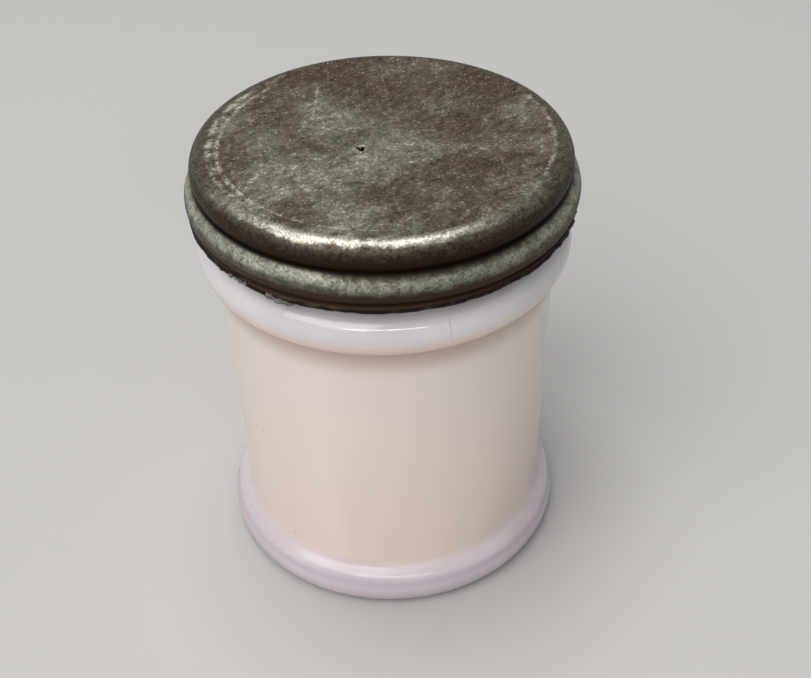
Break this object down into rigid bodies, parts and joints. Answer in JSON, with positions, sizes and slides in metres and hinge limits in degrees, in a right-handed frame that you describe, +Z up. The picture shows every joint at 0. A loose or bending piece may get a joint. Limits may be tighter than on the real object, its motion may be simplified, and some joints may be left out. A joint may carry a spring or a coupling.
{
  "type": "ointment pot",
  "caption": "Small cylindrical opal glass ointment pot with a rounded foot and collar, closed by a tarnished metal screw lid with a cork and paper liner.",
  "frame": {"origin": "middle of the ring face that the pot stands on", "axes": "+Z up along the pot's and the thread's axis; X and Y are any two directions across it, with the pictured side facing -Y"},
  "size_m": [0.055, 0.055, 0.0665],
  "materials": {
    "opal_glass": "opaque white opal glass, fire-polished gloss",
    "tarnished_metal": "soft grey metal, tarnished brown-grey with a grey-green bloom",
    "cork": "bare agglomerated cork",
    "waxed_paper": "waxed paper, yellowed"
  },
  "bodies": {
    "pot": {"pot": "opal_glass"},
    "liner": {"liner_wad": "cork", "liner_facing": "waxed_paper"},
    "lid": {"lid_shell": "tarnished_metal"}
  },
  "joints": [
    {"name": "lid_lift", "type": "slide", "parent": "pot", "child": "liner", "axis": [0, 0, 1], "range_m": [0, 0.015]},
    {"name": "lid_turn", "type": "hinge", "parent": "liner", "child": "lid", "pos_m": [0, 0, 0.06], "axis": [0, 0, 1], "range_deg": [0, 1800]}
  ],
  "couplings": [
    {"joint": "lid_lift", "follows": "lid_turn", "m_per_rad": 0.00047746}
  ]
}
